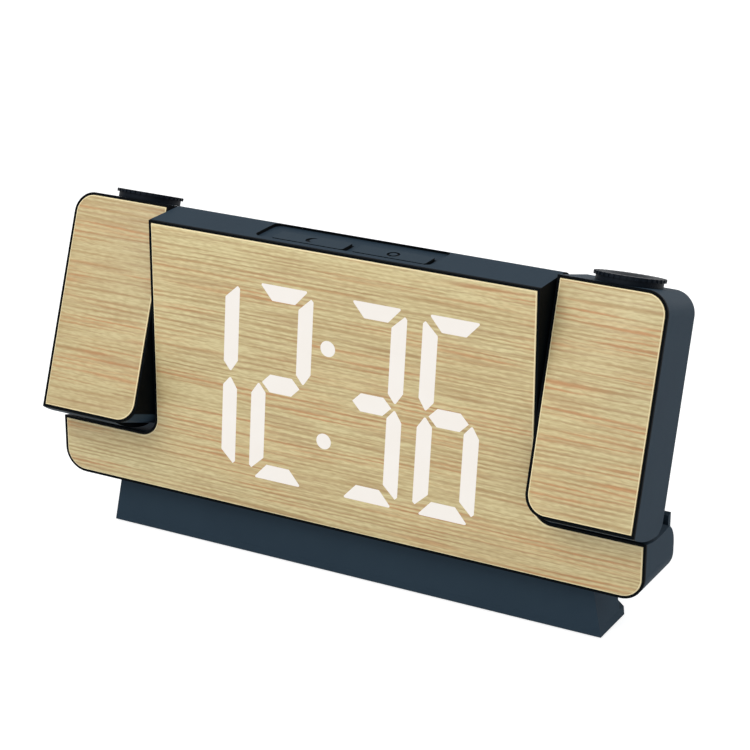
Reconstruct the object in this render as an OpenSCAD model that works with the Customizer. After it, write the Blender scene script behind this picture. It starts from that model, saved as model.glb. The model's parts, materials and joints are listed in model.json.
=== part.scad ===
// Free-standing alarm clock: a wood-faced display body on a low plinth, with a tilting
// projector arm standing in a notch at each end.
// Origin: centre of the rubber mat's underside. +X right, +Y back, +Z up. Millimetres.

/* [Body] */
// Width of the body across the two ledges
body_w = 200; // [185:1:240]
// Height of the body above the plinth
body_h = 88.5; // [84:0.5:108]
// Depth of the body from front rim to back
body_d = 21.5; // [21:0.5:27]
// Width of the raised middle block
block_w = 130.4; // [128:0.2:144]
// Height of the ledge that each arm stands over
ledge_h = 18.2; // [16:0.2:22]
// Wall thickness of the body's shells
wall = 1.8; // [1.5:0.1:2.2]
// Radius of the body's bottom corners
corner_r = 7.3; // [5:0.1:9]
// Radius where the ledge runs into the block
notch_r = 5.6; // [3:0.1:6]
// Radius of the block's top back edge
top_back_r = 6; // [3:0.5:8]
// Radius of each ledge's top back edge
ledge_back_r = 8; // [4:0.5:9]
// Height of the lip behind each ledge, over the ledge
back_lip_h = 1.1; // [1:0.1:2.5]

/* [Wood plates] */
// Thickness of the wood plates
plate_t = 1.5; // [1.2:0.1:2.2]
// How far the plates stand proud of the rim
plate_proud = 0.2; // [0.1:0.1:0.5]
// Width of the shell's rim around a plate
rim = 0.8; // [0.6:0.1:1.2]

/* [Display] */
// Digits lit, from left to right
digits_shown = [1, 2, 3, 6]; // [0:1:9]
// Height of a digit
digit_h = 63.4; // [50:0.1:66]
// Width of a digit
digit_w = 20.3; // [16:0.1:21]
// Distance between the digits of a pair
digit_pitch = 25.4; // [24:0.1:26]
// Distance between the digits beside the colon
colon_pitch = 31.2; // [29:0.1:32]
// Centre of the display, left of the middle when negative
display_x = -3.6; // [-4:0.1:2]
// Height of the display's centre over the body's bottom
display_z = 43.4; // [42.5:0.1:46]
// Thickness of a segment
segment_t = 5; // [4:0.1:5.5]
// Lean of the digits in degrees
digit_slant = 3.1; // [0:0.1:5]
// Diameter of a colon dot
dot_d = 5; // [4:0.1:7]

/* [Arms] */
// Width of a projector arm
arm_w = 34.2; // [31:0.1:40]
// Gap between an arm and the block beside it
arm_gap = 0.6; // [0.4:0.1:1.2]
// Gap under an arm when it stands upright
arm_lift = 1.1; // [0.6:0.1:2]
// How far an arm stays under the block's top
arm_drop = 0.3; // [0:0.1:2]
// Wall thickness of an arm
arm_wall = 1.6; // [1.4:0.1:2]
// Radius of an arm's two round corners
arm_r = 6.8; // [4:0.1:8]
// Radius of an arm's heel, its lower back edge
arm_heel_r = 4.5; // [3:0.1:5]
// Backward tilt of the left arm in degrees
left_tilt = 20; // [0:0.5:45]
// Backward tilt of the right arm in degrees
right_tilt = 16.5; // [0:0.5:45]
// Diameter of the hollow shaft that an arm turns on
shaft_d = 9; // [8:0.1:10]

/* [Projector] */
// Distance of the left projector's axis from the arm's inner face
left_axis = 14.4; // [13.5:0.1:19]
// Distance of the right projector's axis from the arm's inner face
right_axis = 17.4; // [13.5:0.1:19]
// Diameter of the focus ring
ring_d = 20.8; // [19:0.1:21]
// Height of the focus ring
ring_h = 2.5; // [2:0.1:4]
// Diameter of the sliding lens barrel
barrel_d = 12; // [10:0.1:12.4]
// Wall thickness of the tube round the barrel
tube_wall = 1; // [0.8:0.1:1.2]
// Wall thickness of the barrel round the lens
barrel_wall = 1.2; // [1:0.1:1.4]

/* [Buttons] */
// Length of a top button
button_l = 24; // [20:0.5:26]
// Depth of a top button
button_w = 6.7; // [6:0.1:7]
// Gap between the two top buttons
button_gap = 3.2; // [3:0.1:5]
// Depth of the pocket that the top buttons stand in
pocket_depth = 1; // [0.6:0.1:1.2]
// Travel of a top button
button_travel = 0.5; // [0.3:0.1:0.6]
// Length of a rear key
key_l = 9; // [7:0.1:10]
// Height of a rear key
key_w = 5; // [4:0.1:6]
// Distance between rear keys
key_pitch = 16; // [15:0.5:18]
// How far a rear key stands out
key_proud = 0.8; // [0.5:0.1:1.2]

/* [Base] */
// Width of the base on the ground
base_w = 170.8; // [160:0.2:190]
// Depth of the base
base_d = 36; // [32:1:50]
// Height of the base
base_h = 17.5; // [13:0.5:22]
// How far the base stands behind the body's front
base_setback = 5; // [3:0.5:6]
// How far each end of the base leans in over its height
base_flare = 3.4; // [0:0.1:6]
// Depth of the plinth on the base
plinth_d = 14.8; // [13:0.1:16]
// Thickness of the base's bottom plate
base_plate_t = 2.4; // [2:0.1:3]
// Thickness of the rubber mat
mat_t = 1.1; // [0.8:0.1:1.5]
// How far the mat stands out of the plate
mat_proud = 0.6; // [0.4:0.1:0.7]

/* [Hidden] */
$fn = 64;

// Colours
shell_colour = "#36424c";
wood_colour = "#d2c08e";
light_colour = "#fdf5ec";
trim_colour = "#14181c";
board_colour = "#1f5a3a";
chip_colour = "#1b1b1d";
steel_colour = "#b9bcc0";
glass_colour = "#dfe9ee";
white_plastic = "#f1f1ec";
brass_colour = "#c9a860";

// Clearances
eps = 0.01;
slide_clear = 0.2;      // round a button or key in its hole
running_clear = 0.05;   // round a shaft or barrel that turns or slides
shake_clear = 0.3;      // between a moving piece's flange and its stop
seat_clear = 0.15;      // between two shells that plug together

// Body places, measured from the body's front rim and bottom
body_front = -base_d / 2 - base_setback;
cover_t = wall;
cover_y = body_d - cover_t;
pivot_y = body_d / 2;
arm_h = body_h - ledge_h - arm_lift - arm_drop;
arm_bottom = ledge_h + arm_lift;
pivot_z = arm_bottom + arm_h / 2;
arm_inner = block_w / 2 + arm_gap;
arm_d = body_d;
plate_seat = plate_t - plate_proud;
web_t = 1.7;
web_y = plate_seat + web_t;

// Radius of an arm's sole, which is round about the pivot, and of the trough under it
sole_r = norm([arm_h / 2, arm_d / 2]);
scoop_r = norm([arm_h / 2 + arm_lift, arm_d / 2]);

// Digits
digit_centres = [
    -colon_pitch / 2 - digit_pitch, -colon_pitch / 2,
    colon_pitch / 2, colon_pitch / 2 + digit_pitch
];
// Segments lit for each digit, in the order a to g
segment_table = [
    [1, 1, 1, 1, 1, 1, 0], [0, 1, 1, 0, 0, 0, 0], [1, 1, 0, 1, 1, 0, 1],
    [1, 1, 1, 1, 0, 0, 1], [0, 1, 1, 0, 0, 1, 1], [1, 0, 1, 1, 0, 1, 1],
    [1, 0, 1, 1, 1, 1, 1], [1, 1, 1, 0, 0, 0, 0], [1, 1, 1, 1, 1, 1, 1],
    [1, 1, 1, 1, 0, 1, 1]
];
corner_gap = 1.8;       // from a digit's corner to the top and bottom segments
upper_gap = 2.3;        // from a digit's top to an upper side segment
lower_gap = 3;          // from a digit's bottom to a lower side segment
upper_tip = 1.9;        // from the middle line up to an upper side segment's tip
lower_tip = 0.4;        // from the middle line down to a lower side segment's tip
blunt = 0.8;            // width of a side segment's cut tip
mitre = 4.4;            // run of a segment's slanted end
dot_rise = 14.9;        // from the display's middle to each colon dot

// Reflector and display board
reflector_margin = 2.6;
reflector_w = colon_pitch + 2 * digit_pitch + digit_w + 2 * reflector_margin;
reflector_h = digit_h + 4.4;
reflector_nose = 3;     // inset of the part that fills the window
reflector_back = web_y + 4.5;
board_t = 1.6;
display_board_back = reflector_back + board_t;
stake_r = 1.2;
stake_inset = 1.7;
led_h = 0.8;

// Main board
main_w = 100;
main_low = 16;
main_h = 54;
main_front = 13.4;
main_back = main_front + board_t;
main_post_x = main_w / 2 - 4;
main_post_z = [main_low + 4, main_low + main_h - 4];
key_z = main_low + main_h - 10;
key_stop_y = cover_y - shake_clear;
key_flange_t = 1.2;
key_travel = 0.5;
key_flange = 1;         // overhang of a key's flange
switch_gap = 0.05;      // left over a pressed switch
switch_w = 6;
plunger_r = 1.6;
plunger_h = 0.7;

// Rear fittings, as [x, z]
buzzer_at = [-34, 36];
cell_at = [30, 34];
socket_at = [-6, 24];
sensor_at = [-20, 22];
cell_d = 20;
cell_t = 3.2;
holder_w = 23;
door_w = 25.6;
door_ear = 6.4;
door_lip = 1.4;
door_step = 0.9;
socket_w = 9;
socket_h = 3.2;
socket_out = 0.3;

// Top buttons
button_x = 1.6;         // of the middle between the two
pocket_left = 6;        // of pocket beyond the left button
pocket_right = 2.2;     // of pocket beyond the right button
pocket_front = 3;
pocket_w = 2 * button_l + button_gap + pocket_left + pocket_right;
pocket_x = button_x + (pocket_right - pocket_left) / 2;
pocket_d = 14;
pocket_r = 2.5;
pad_t = 2;
pad_margin = 2;
button_front = pocket_front + 0.6;
button_flange = 1;
button_flange_t = 1.3;
button_stop_z = body_h - pocket_depth - pad_t - shake_clear;
button_foot_z = button_stop_z - button_flange_t;
button_switch_top = button_foot_z - button_travel - switch_gap;
button_board_t = 1.2;
button_board_top = button_switch_top - 3.2;
button_board_w = pocket_w + 4;

// Depth to which the rear cover's lip and bosses reach into the front shell
lip_depth = 2.4;
back_lip_t = 1.8;       // of the lips behind the ledges, which the screw holes pass

// Screws
screw_r = 1;
screw_head_r = 1.9;
screw_head_h = 1.3;
boss_r = 2.8;
shell_screw_l = 9;
short_screw_l = 4;
base_screw_l = 7;
// Height of the upper bosses over the body's bottom is tied to its top
shell_boss_spots = [
    [block_w / 2 - wall - 3.8, body_h - wall - 5.6],
    [block_w / 2 - wall - 3.8, wall + 3.8],
    [body_w / 2 - 10, wall + 6.5]
];
base_screw_x = [20, 46];
plinth_post_x = [33, 68];

// Base
plate_top = mat_proud + base_plate_t;
base_front = -base_d / 2;
plinth_mid = base_front + plinth_d / 2;
rear_narrowing = 20;
straight_d = plinth_d + 2.4;
mat_w = base_w - 30;
mat_d = base_d - 10;
mat_r = 4;
plinth_wall = 1.8;

// Arm interior, measured from an arm's inner face, its middle height and the pivot
arm_top = arm_h / 2;
heel_y = arm_d / 2 - arm_heel_r;
heel_z = -sqrt(pow(sole_r - arm_heel_r, 2) - pow(heel_y, 2));
washer_t = 1;
shaft_flange_t = 1.4;
shaft_flange_r = shaft_d / 2 + 2.5;
// Front edge of the rear cover's plug-in lip, clear of the shafts' flanges and washers
cover_lip_y = max(cover_y - 2, pivot_y + shaft_flange_r + slide_clear);
shaft_bore_r = 2.2;
clip_t = 1;
wall_inner = -arm_gap - wall;
washer_end = wall_inner - washer_t;
shaft_start = washer_end - running_clear - shaft_flange_t;
shaft_end = arm_wall + clip_t + 0.6;
tube_d = barrel_d + 2 * tube_wall;
tube_flange_r = arm_d / 2 - web_y - running_clear;
tube_flange_t = 1.6;
tube_l = 24;
tube_above = 1.1;
ring_base = 0.15;       // gap under the focus ring
ring_step = 1;          // height of the ring's gripped upper band
ring_skirt_in = 0.7;    // the lower band is this much smaller in radius
ring_bore_r = barrel_d / 2 - 1.4;
ring_ribs = 36;
rib_r = 0.35;
barrel_l = 10;
barrel_top = -3.4;      // of the barrel, from the arm's top
lens_d = barrel_d - 2 * barrel_wall;
barrel_bore_r = lens_d / 2 - 0.6;
lens_t = 2.6;
lens_bulge = 0.8;
lens_seat = 1;          // of plastic over the lens
housing_w = 15;
housing_h = 18;
housing_wall = 1.2;
housing_top = -tube_l;
slide_w = 11;
slide_t = 1.1;
condenser_d = 10;
condenser_t = 3;
condenser_drop = 6;
lamp_board_w = 20;
lamp_r = 2.5;
lamp_h = 6;
arm_boss_r = 2.4;
arm_screw_spots = [
    [arm_w - arm_wall - 3.3, arm_top - 9.5],
    [arm_w - arm_wall - 3.3, -arm_top + 6],
    [arm_wall + 5, -arm_top + 6.5]
];

// ---------------------------------------------------------------- shared shapes

// Draws its children in the body's own frame
module in_body() {
    translate([0, body_front, base_h]) children();
}

// Draws its children in an arm's frame: +X outward, tilted back about the pivot
module in_arm(side) {
    tilt = side < 0 ? left_tilt : right_tilt;
    $axis_x = side < 0 ? left_axis : right_axis;
    in_body() translate([side * arm_inner, pivot_y, pivot_z])
        rotate([-tilt, 0, 0]) mirror([side < 0 ? 1 : 0, 0, 0]) children();
}

// Extrudes a front-view outline from y0 back to y1
module slab(y0, y1) {
    translate([0, y1, 0]) rotate([90, 0, 0]) linear_extrude(y1 - y0) children();
}

// A round bar along Y from y0 back to y1
module bar_y(r, y0, y1) {
    translate([0, y0, 0]) rotate([-90, 0, 0]) cylinder(h = y1 - y0, r = r);
}

// A round bar along X from x0 to x1
module bar_x(r, x0, x1) {
    translate([x0, 0, 0]) rotate([0, 90, 0]) cylinder(h = x1 - x0, r = r);
}

// What a round corner removes from a square one at the origin
module corner_cut(r) {
    difference() {
        translate([-1, -1]) square(r + 1);
        translate([r, r]) circle(r);
    }
}

// What a fillet adds in a square inside corner at the origin
module corner_fill(r) {
    difference() {
        translate([-eps, -eps]) square(r + eps);
        translate([r, r]) circle(r);
    }
}

module round_rect(w, h, r) {
    translate([-w / 2 + r, -h / 2]) square([w - 2 * r, h]);
    translate([-w / 2, -h / 2 + r]) square([w, h - 2 * r]);
    for (sx = [-1, 1], sy = [-1, 1])
        translate([sx * (w / 2 - r), sy * (h / 2 - r)]) circle(r);
}

// Draws a child as it is and mirrored to the other side of X
module both_sides() {
    children();
    mirror([1, 0, 0]) children();
}

// A pan-head screw along +Y from the underside of its head
module screw(l) {
    bar_y(screw_r, -eps, l);
    bar_y(screw_head_r, -screw_head_h, 0);
}

// ---------------------------------------------------------------- body

// The body's front outline, drawn in by inset all round
module tee(inset) {
    difference() {
        union() {
            translate([-body_w / 2 + inset, inset])
                square([body_w - 2 * inset, ledge_h - 2 * inset]);
            translate([-block_w / 2 + inset, inset])
                square([block_w - 2 * inset, body_h - 2 * inset]);
            both_sides() translate([block_w / 2 - inset, ledge_h - inset])
                corner_fill(notch_r + inset);
        }
        both_sides() translate([-body_w / 2 + inset, inset]) corner_cut(corner_r - inset);
    }
}

// What the round top back edges of the block and the ledges remove, grown by extra
module back_edges(extra) {
    both_sides() {
        back_edge(body_h, top_back_r, extra, -1, block_w / 2 + 1);
        back_edge(ledge_h, ledge_back_r, extra, block_w / 2 - extra, body_w / 2 + 1);
    }
}

// One such edge, under height z from x0 to x1
module back_edge(z, r, extra, x0, x1) {
    difference() {
        translate([x0, body_d - r, z - r]) cube([x1 - x0, r + 1, r + 1]);
        translate([0, body_d - r, z - r]) bar_x(r - extra, x0 - 1, x1 + 1);
    }
}

// The space that the arms sweep over the ledges, grown by extra
module scoops(extra) {
    both_sides() translate([block_w / 2 - extra, pivot_y, pivot_z]) rotate([0, 90, 0])
        rotate_extrude() difference() {
            square([scoop_r + extra, body_w / 2]);
            translate([scoop_r + extra, 0]) mirror([1, 0]) corner_cut(notch_r + extra);
        }
}

module body_cavity(y0, y1, inset) {
    difference() {
        slab(y0, y1) tee(inset);
        scoops(inset);
        back_edges(inset);
    }
}

// The shallow pocket round the top buttons
module button_pocket() {
    translate([pocket_x, pocket_front + pocket_d / 2, body_h - pocket_depth])
        linear_extrude(pocket_depth + 1) round_rect(pocket_w, pocket_d, pocket_r);
}

// Draws its children at each top button's middle
module at_buttons(which) {
    for (i = which)
        translate([button_x + (i - 0.5) * (button_l + button_gap),
                   button_front + button_w / 2, 0]) children();
}

module button_holes() {
    at_buttons([0, 1]) translate([0, 0, body_h - pad_t - pocket_depth - 1])
        linear_extrude(pad_t + pocket_depth + 2)
            square([button_l + 2 * slide_clear, button_w + 2 * slide_clear], center = true);
}

// The thicker wall under the pocket
module button_pad() {
    translate([pocket_x, 0, body_h - pocket_depth - pad_t]) linear_extrude(pad_t)
        translate([-pocket_w / 2 - pad_margin, web_y - eps])
            square([pocket_w + 2 * pad_margin, cover_y - lip_depth - web_y]);
}

// The window behind the digits
module display_window(inset) {
    translate([display_x, display_z])
        square([reflector_w - 2 * inset, reflector_h - 2 * inset], center = true);
}

// Draws its children at the corners of the display board, as [x, z]
module at_stakes() {
    for (sx = [-1, 1], sz = [-1, 1])
        translate([display_x + sx * (reflector_w / 2 - stake_inset), 0,
                   display_z + sz * (reflector_h / 2 - stake_inset)]) children();
}

module front_shell() {
    color(shell_colour) in_body() difference() {
        union() {
            difference() {
                slab(0, cover_y) tee(0);
                body_cavity(web_y, cover_y + 1, wall);
            }
            button_pad();
            both_sides() for (spot = shell_boss_spots)
                translate([spot[0], 0, spot[1]]) bar_y(boss_r, web_y - eps, cover_y - lip_depth);
            at_stakes() bar_y(stake_r, web_y - eps, display_board_back + 0.6);
            // Bosses that the plinth's screws bite into
            both_sides() for (x = base_screw_x)
                translate([x, pivot_y, wall - eps]) cylinder(h = 6.2, r = boss_r);
            // Shelves under the button board
            for (s = [-1, 1])
                translate([button_x + s * (button_board_w / 2 - 1.5) - 1.5, web_y - eps,
                           button_board_top - button_board_t - 1.2])
                    cube([3, 8, 1.2]);
        }
        slab(-1, plate_seat) tee(rim);
        slab(0, web_y + 1) display_window(reflector_nose - slide_clear);
        scoops(0);
        back_edges(0);
        button_pocket();
        button_holes();
        // Bearings for the arms' shafts
        translate([0, pivot_y, pivot_z])
            bar_x(shaft_d / 2 + running_clear, -block_w / 2 - 1, block_w / 2 + 1);
        both_sides() for (spot = shell_boss_spots)
            translate([spot[0], 0, spot[1]])
                bar_y(screw_r, cover_y - lip_depth - shell_screw_l, cover_y);
        both_sides() for (x = base_screw_x)
            translate([x, pivot_y, -1]) cylinder(h = base_screw_l + 1, r = screw_r);
    }
}

module rear_cover() {
    color(shell_colour) in_body() difference() {
        union() {
            slab(cover_y, body_d) tee(0);
            // Lip that plugs into the front shell
            difference() {
                body_cavity(cover_lip_y, cover_y + eps, wall + seat_clear);
                body_cavity(cover_y - 3, cover_y + 1, wall + seat_clear + 1);
                both_sides() translate([shell_boss_spots[0][0], 0, shell_boss_spots[0][1]])
                    bar_y(boss_r + 0.3, cover_y - 3, cover_y);
            }
            both_sides() for (spot = shell_boss_spots)
                translate([spot[0], 0, spot[1]]) bar_y(boss_r, cover_y - lip_depth, cover_y + eps);
            for (x = [-main_post_x, main_post_x], z = main_post_z)
                translate([x, 0, z]) bar_y(boss_r, main_back, cover_y + eps);
            // Boss for the battery door's screw
            translate([cell_at[0], 0, cell_at[1] + door_w / 2 + door_ear / 2])
                bar_y(2.4, cover_y - 3.4, cover_y + eps);
            // Lips behind the ledges
            both_sides() translate([block_w / 2 + 1.5, 0, corner_r])
                back_lip(body_w / 2 - block_w / 2 - 3.5);
        }
        scoops(0);
        // The round edges, kept off the lips
        intersection() {
            back_edges(0);
            slab(0, body_d) square([2 * body_w, 3 * body_h], center = true);
        }
        both_sides() for (spot = shell_boss_spots)
            translate([spot[0], 0, spot[1]]) {
                bar_y(screw_r, cover_y - 3, body_d);
                bar_y(screw_head_r + 0.1, body_d - screw_head_h - 0.1, body_d + back_lip_t + 1);
            }
        for (x = [-main_post_x, main_post_x], z = main_post_z)
            translate([x, 0, z]) bar_y(screw_r, main_back - 1, main_back + 3);
        at_keys() slab(cover_y - 1, body_d + 1)
            square([key_l + 2 * slide_clear, key_w + 2 * slide_clear], center = true);
        // Sound holes
        translate([buzzer_at[0], 0, buzzer_at[1]]) {
            bar_y(0.9, cover_y - 1, body_d + 1);
            for (a = [0 : 60 : 300]) rotate([0, a, 0]) translate([3.4, 0, 0])
                bar_y(0.9, cover_y - 1, body_d + 1);
        }
        // Vent slots by the sensor
        for (i = [-1 : 1]) translate([sensor_at[0], 0, sensor_at[1] + 3 * i])
            slab(cover_y - 1, body_d + 1) square([9, 1.2], center = true);
        translate([cell_at[0], 0, cell_at[1]]) door_outline(slide_clear);
        translate([cell_at[0], 0, cell_at[1] + door_w / 2 + door_ear / 2])
            bar_y(screw_r, cover_y - 3, body_d);
        translate([socket_at[0], 0, socket_at[1]]) slab(cover_y - 1, body_d + 1)
            square([socket_w + 2 * slide_clear, socket_h + 2 * slide_clear], center = true);
    }
}

// One lip, w long, with a round top edge
module back_lip(w) {
    lip_top = ledge_h + back_lip_h - corner_r - back_lip_t / 2;
    translate([0, body_d - eps, 0]) cube([w, back_lip_t, lip_top]);
    translate([0, body_d + back_lip_t / 2 - eps, lip_top]) bar_x(back_lip_t / 2, 0, w);
}

module face_panel() {
    color(wood_colour) in_body() difference() {
        slab(-plate_proud, plate_seat) tee(rim);
        slab(-1, plate_seat + 1) lit_outlines();
    }
}

// ---------------------------------------------------------------- display

// A point of a digit, leant to the right with height
function leant(x, z) = [x + z * tan(digit_slant), z];

// A right side segment, from its outer top corner round to its inner one: end is its
// distance from the digit's top, and tip its distance from the middle line
function side_segment(end, tip) = let (w = digit_w / 2, h = digit_h / 2, t = segment_t) [
    [w - blunt, h - end], [w, h - end - blunt], [w, tip + 0.7 * t], [w - 0.45 * t, tip],
    [w - 0.55 * t, tip], [w - t, tip + 0.55 * t], [w - t, h - end - mitre + 0.4]
];

function top_segment() = let (w = digit_w / 2, h = digit_h / 2) [
    [-w + corner_gap, h], [w - corner_gap, h],
    [w - corner_gap - mitre, h - segment_t], [-w + corner_gap + mitre, h - segment_t]
];

function middle_segment() = let (w = digit_w / 2 - 3.6, r = 0.58 * segment_t, z = 0.2) [
    [-w, z], [-w + 2.8, z + r], [w - 2.8, z + r], [w, z], [w - 2.8, z - r],
    [-w + 2.8, z - r]
];

function flipped(points, sx, sz) = [for (p = points) [sx * p[0], sz * p[1]]];

// Outlines of the seven segments, in the order a to g
SEGMENTS = [
    top_segment(), side_segment(upper_gap, upper_tip),
    flipped(side_segment(lower_gap, lower_tip), 1, -1), flipped(top_segment(), 1, -1),
    flipped(side_segment(lower_gap, lower_tip), -1, -1),
    flipped(side_segment(upper_gap, upper_tip), -1, 1), middle_segment()
];

module segment(index) {
    polygon([for (p = SEGMENTS[index]) leant(p[0], p[1])]);
}

module colon_dots(r) {
    for (s = [-1, 1]) translate(leant(0, s * dot_rise)) circle(r);
}

// Every lit segment and the colon, in the front view
module lit_outlines() {
    translate([display_x, display_z]) {
        for (place = [0 : 3]) translate([digit_centres[place], 0])
            for (s = [0 : 6]) if (segment_table[digits_shown[place]][s]) segment(s);
        colon_dots(dot_d / 2);
    }
}

// All the cells of the reflector
module cell_outlines() {
    translate([display_x, display_z]) {
        for (place = [0 : 3]) translate([digit_centres[place], 0])
            for (s = [0 : 6]) segment(s);
        colon_dots(dot_d / 2);
    }
}

module digit_lenses() {
    color(light_colour) in_body() slab(-plate_proud, plate_seat) lit_outlines();
}

module light_reflector() {
    color(white_plastic) in_body() difference() {
        union() {
            slab(plate_seat, web_y) display_window(reflector_nose);
            slab(web_y, reflector_back) display_window(0);
        }
        slab(plate_seat - 1, reflector_back + 1) cell_outlines();
        at_stakes() bar_y(stake_r + 0.1, plate_seat - 1, reflector_back + 1);
    }
}

module display_board() {
    color(board_colour) in_body() difference() {
        slab(reflector_back, display_board_back) display_window(0);
        at_stakes() bar_y(stake_r + 0.1, plate_seat, display_board_back + 1);
    }
}

// Where each segment's lamp chip lies, from the digit's middle
function led_spots() = let (x = (digit_w - segment_t) / 2, z = digit_h / 4,
                            e = (digit_h - segment_t) / 2) [
    leant(0, e), leant(x, z), leant(x, -z), leant(0, -e), leant(-x, -z), leant(-x, z),
    [0, 0]
];

module led_chip() {
    slab(reflector_back - led_h, reflector_back) square([2.8, 2], center = true);
}

module display_leds() {
    color("#f7e9b0") in_body() translate([display_x, 0, display_z]) {
        for (x = digit_centres, spot = led_spots())
            translate([x + spot[0], 0, spot[1]]) led_chip();
        for (s = [-1, 1]) let (dot = leant(0, s * dot_rise))
            translate([dot[0], 0, dot[1]]) led_chip();
    }
}

// ---------------------------------------------------------------- electronics

module main_board() {
    color(board_colour) in_body() difference() {
        slab(main_front, main_back) translate([-main_w / 2, main_low])
            square([main_w, main_h]);
        for (x = [-main_post_x, main_post_x], z = main_post_z)
            translate([x, 0, z]) bar_y(screw_r + 0.2, main_front - 1, main_back + 1);
    }
}

// Controller, clock chip, crystal can and the header that joins the two boards
module board_chips() {
    color(chip_colour) in_body() {
        translate([-10, main_front - 1.4, 44]) cube([11, 1.4, 11]);
        translate([12, main_front - 1.4, 28]) cube([5, 1.4, 4]);
        translate([-30, main_front - 2, 26]) bar_y(1.5, 0, 2);
        translate([-12, display_board_back, main_low + 3])
            cube([24, main_front - display_board_back, 2.5]);
    }
}

// Draws its children at each rear key, as seen from the back
module at_keys(which = [0 : 4]) {
    for (i = which) translate([(2 - i) * key_pitch, 0, key_z]) children();
}

// The switches under the rear keys and under the top buttons
module tact_switches() {
    key_plunger = key_stop_y - key_flange_t - key_travel - switch_gap;
    color(steel_colour) in_body() {
        at_keys() {
            slab(main_back, key_plunger - plunger_h) square(switch_w, center = true);
            bar_y(plunger_r, key_plunger - plunger_h - eps, key_plunger);
        }
        at_buttons([0, 1]) {
            translate([-switch_w / 2, -switch_w / 2, button_board_top])
                cube([switch_w, switch_w, button_switch_top - button_board_top - plunger_h]);
            translate([0, 0, button_switch_top - plunger_h - eps])
                cylinder(h = plunger_h + eps, r = plunger_r);
        }
    }
}

module rear_key(index) {
    color(trim_colour) in_body() at_keys([index]) {
        slab(key_stop_y - key_flange_t, key_stop_y)
            square([key_l + 2 * key_flange, key_w + 2 * key_flange], center = true);
        slab(key_stop_y - eps, body_d + key_proud) round_rect(key_l, key_w, 1);
    }
}

module buzzer() {
    color(chip_colour) in_body() translate([buzzer_at[0], 0, buzzer_at[1]]) difference() {
        bar_y(6, main_back, cover_y - 0.3);
        bar_y(1.2, cover_y - 1.6, cover_y);
    }
}

module cell_holder() {
    color(chip_colour) in_body() translate([cell_at[0], 0, cell_at[1]]) difference() {
        slab(main_back, main_back + cell_t + 0.7) square(holder_w, center = true);
        bar_y(cell_d / 2 + 0.1, main_back + 0.6, cover_y + 1);
    }
}

module coin_cell() {
    color(steel_colour) in_body() translate([cell_at[0], 0, cell_at[1]])
        bar_y(cell_d / 2, main_back + 0.6, main_back + 0.6 + cell_t);
}

// The battery door's stepped shape, grown by clear
module door_outline(clear) {
    ear_shift = door_ear / 2;
    translate([0, 0, ear_shift]) slab(body_d - door_step, body_d + (clear > 0 ? 1 : 0))
        square([door_w + 2 * clear, door_w + door_ear + 2 * clear], center = true);
    slab(cover_y - (clear > 0 ? 1 : 0), body_d - door_step + eps)
        square(door_w - 2 * door_lip + 2 * clear, center = true);
}

module battery_door() {
    color(shell_colour) in_body() translate([cell_at[0], 0, cell_at[1]]) difference() {
        door_outline(0);
        translate([0, 0, door_w / 2 + door_ear / 2]) {
            bar_y(screw_r + 0.2, cover_y, body_d + 1);
            bar_y(screw_head_r + 0.1, body_d - 0.5, body_d + 1);
        }
        // Finger nick
        translate([0, body_d, -door_w / 2 + 3]) bar_x(0.5, -4, 4);
    }
}

module power_socket() {
    color(steel_colour) in_body() translate([socket_at[0], 0, socket_at[1]]) {
        difference() {
            slab(main_back, body_d - socket_out) round_rect(socket_w, socket_h, 1.4);
            slab(main_back + 1.5, body_d) round_rect(socket_w - 0.7, socket_h - 0.7, 1.1);
        }
        slab(main_back + 1, body_d - socket_out - 1) square([6.7, 0.7], center = true);
    }
}

module temperature_sensor() {
    color("#3a2a1e") in_body() translate([sensor_at[0], 0, sensor_at[1]]) {
        translate([0, main_back + 3.2, 0]) sphere(1.3);
        for (s = [-1, 1]) translate([s * 0.6, 0, 0]) bar_y(0.25, main_back, main_back + 3);
    }
}

module button_board() {
    color(board_colour) in_body()
        translate([button_x - button_board_w / 2, web_y + 0.2,
                   button_board_top - button_board_t])
            cube([button_board_w, 9, button_board_t]);
}

// ---------------------------------------------------------------- buttons

module top_button(index) {
    color(shell_colour) in_body() at_buttons([index]) difference() {
        union() {
            // The flange has no overhang at the front, where the shell's web is close
            translate([-button_l / 2 - button_flange, -button_w / 2, button_foot_z])
                cube([button_l + 2 * button_flange, button_w + button_flange,
                      button_flange_t]);
            translate([0, 0, button_stop_z - eps])
                linear_extrude(body_h - button_stop_z + eps)
                    round_rect(button_l, button_w, 0.8);
        }
        // Generic marks: a crescent on the first button, a lens ring on the second
        translate([0, 0, body_h - 0.3]) linear_extrude(1) difference() {
            circle(2);
            translate([index == 0 ? 1 : 0, 0]) circle(index == 0 ? 1.7 : 1.2);
        }
    }
}

module snooze_button() top_button(0);
module projection_button() top_button(1);
module set_key() rear_key(0);
module up_key() rear_key(1);
module down_key() rear_key(2);
module alarm_key() rear_key(3);
module dimmer_key() rear_key(4);

// ---------------------------------------------------------------- base

// The base's flared front outline, drawn in by inset
module flared_outline(inset) {
    half = base_w / 2 - inset;
    polygon([[-half, 0], [half, 0], [half - base_flare, base_h],
             [-half + base_flare, base_h]]);
}

// The base's plan: straight at the front, narrower at the back
module base_plan() {
    half = base_w / 2;
    polygon([[-half, base_front], [half, base_front],
             [half, base_front + straight_d], [half - rear_narrowing, base_d / 2],
             [-half + rear_narrowing, base_d / 2], [-half, base_front + straight_d]]);
}

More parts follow.
